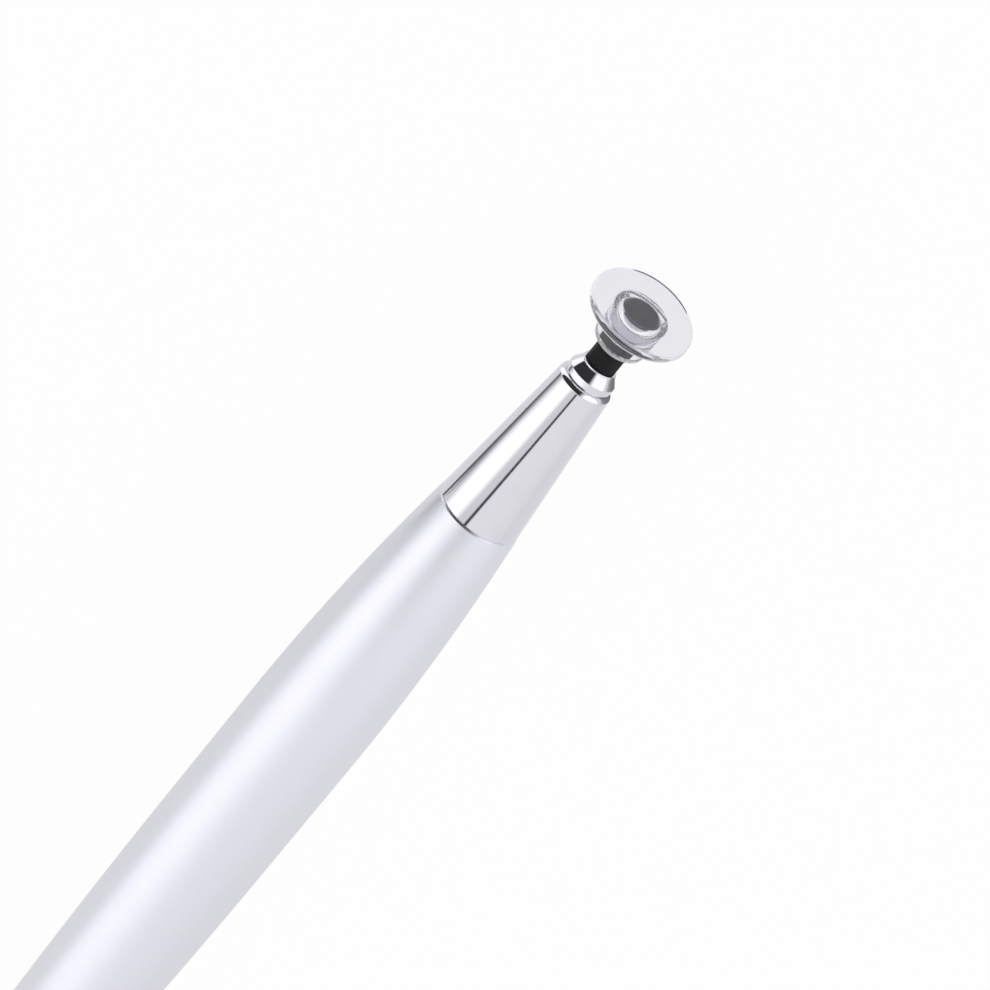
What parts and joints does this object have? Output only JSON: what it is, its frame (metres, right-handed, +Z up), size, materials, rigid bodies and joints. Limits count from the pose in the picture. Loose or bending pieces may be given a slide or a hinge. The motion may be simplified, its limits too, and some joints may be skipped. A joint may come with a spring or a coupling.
{
  "type": "stylus pen",
  "caption": "Slim stylus pen with a clear ball-jointed disc tip on a chromed nose, a satin barrel, and a ballpoint under a clipped pull-off cap.",
  "frame": {"origin": "on the pen's axis, halfway along the straight grip of the barrel", "axes": "+X along the pen towards the disc tip, +Z up with the pen lying on its barrel and clip"},
  "size_m": [0.1387, 0.0098, 0.0084],
  "materials": {
    "clear_acrylic": "clear polished",
    "conductive_pad": "matte",
    "black_rubber": "matte",
    "bright_chrome": "mirror",
    "satin_aluminium": "satin pearl anodised",
    "steel": "ground",
    "brass": "turned",
    "black_plastic": "semi gloss",
    "white_plastic": "matte"
  },
  "bodies": {
    "pen": {"barrel": "satin_aluminium", "nose_cone": "bright_chrome", "tip_collar": "bright_chrome", "front_bush": "brass", "rear_bush": "brass", "centre_ring": "bright_chrome", "writing_section": "black_plastic", "grip_ring": "black_rubber", "refill_tube": "brass", "refill_point": "brass"},
    "tip_stem": {"ball_pin": "steel", "pin_retainer": "steel", "neck_sleeve": "black_rubber", "contact_pad": "conductive_pad"},
    "tip_disc": {"socket_hub": "clear_acrylic", "contact_disc": "clear_acrylic"},
    "cap": {"cap_shell": "satin_aluminium", "cap_liner": "white_plastic", "finial": "bright_chrome", "finial_screw": "steel"},
    "clip": {"clip": "bright_chrome"},
    "roller": {"writing_ball": "steel"}
  },
  "joints": [
    {"name": "tip_spin", "type": "hinge", "parent": "pen", "child": "tip_stem", "pos_m": [0.03887, 0, 0], "axis": [1, 0, 0], "continuous": true},
    {"name": "disc_tilt", "type": "hinge", "parent": "tip_stem", "child": "tip_disc", "pos_m": [0.0439, 0, 0], "axis": [0, -1, 0], "range_deg": [-28, 2]},
    {"name": "cap_pull", "type": "slide", "parent": "pen", "child": "cap", "axis": [-1, 0, 0], "range_m": [0, 0.036]},
    {"name": "clip_flex", "type": "hinge", "parent": "cap", "child": "clip", "pos_m": [-0.0888, 0.00258, -0.00153], "axis": [0, 0.5106, 0.8598], "range_deg": [0, 4], "stiffness_Nm_per_rad": 0.5, "springref_deg": -1.15},
    {"name": "ball_roll", "type": "hinge", "parent": "pen", "child": "roller", "pos_m": [-0.06737, 0, 0], "axis": [0, 1, 0], "continuous": true}
  ]
}
